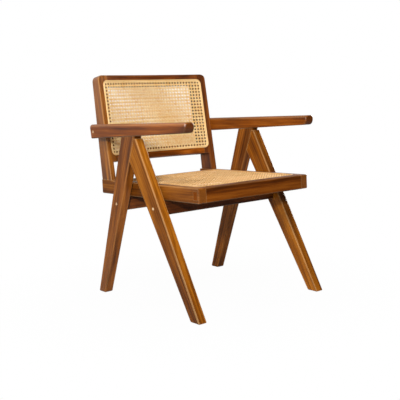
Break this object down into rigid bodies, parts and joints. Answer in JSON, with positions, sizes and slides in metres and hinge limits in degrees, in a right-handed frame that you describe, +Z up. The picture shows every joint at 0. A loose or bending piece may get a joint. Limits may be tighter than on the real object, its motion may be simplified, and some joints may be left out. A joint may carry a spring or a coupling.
{
  "type": "cane armchair",
  "caption": "Low wooden armchair with A-shaped side legs, long tapering armrests, a caned seat and a bowed, double-caned back.",
  "frame": {"origin": "on the floor, at the middle of the chair's length and width", "axes": "+Z up; the chair faces -Y; the sitter's right is at -X"},
  "size_m": [0.578, 0.6817, 0.7989],
  "materials": {
    "oiled_wood": "oiled, satin",
    "cane": "natural woven cane",
    "spline_reed": "natural reed",
    "plug_wood": "oiled, end grain",
    "zinc_steel": "zinc plated",
    "dowel_wood": "bare"
  },
  "bodies": {
    "root": {"right_front_leg": "oiled_wood", "left_front_leg": "oiled_wood", "right_rear_leg": "oiled_wood", "left_rear_leg": "oiled_wood", "right_armrest": "oiled_wood", "left_armrest": "oiled_wood", "right_back_post": "oiled_wood", "left_back_post": "oiled_wood", "back_top_rail": "oiled_wood", "back_bottom_rail": "oiled_wood", "right_seat_rail": "oiled_wood", "left_seat_rail": "oiled_wood", "front_seat_rail": "oiled_wood", "rear_seat_rail": "oiled_wood", "front_stretcher": "oiled_wood", "rear_stretcher": "oiled_wood", "back_front_cane": "cane", "back_rear_cane": "cane", "seat_cane": "cane", "back_front_spline": "spline_reed", "back_rear_spline": "spline_reed", "seat_spline": "spline_reed", "right_front_leg_plug": "plug_wood", "right_rear_leg_plug": "plug_wood", "right_armrest_plug": "plug_wood", "left_front_leg_plug": "plug_wood", "left_rear_leg_plug": "plug_wood", "left_armrest_plug": "plug_wood", "right_front_leg_screw": "zinc_steel", "right_rear_leg_screw": "zinc_steel", "right_armrest_screw": "zinc_steel", "right_front_seat_screw": "zinc_steel", "right_rear_seat_screw": "zinc_steel", "left_front_leg_screw": "zinc_steel", "left_rear_leg_screw": "zinc_steel", "left_armrest_screw": "zinc_steel", "left_front_seat_screw": "zinc_steel", "left_rear_seat_screw": "zinc_steel", "right_front_arm_dowel": "dowel_wood", "right_rear_arm_dowel": "dowel_wood", "right_upper_leg_dowel": "dowel_wood", "right_lower_leg_dowel": "dowel_wood", "right_back_post_dowel": "dowel_wood", "left_front_arm_dowel": "dowel_wood", "left_rear_arm_dowel": "dowel_wood", "left_upper_leg_dowel": "dowel_wood", "left_lower_leg_dowel": "dowel_wood", "left_back_post_dowel": "dowel_wood"}
  },
  "joints": []
}
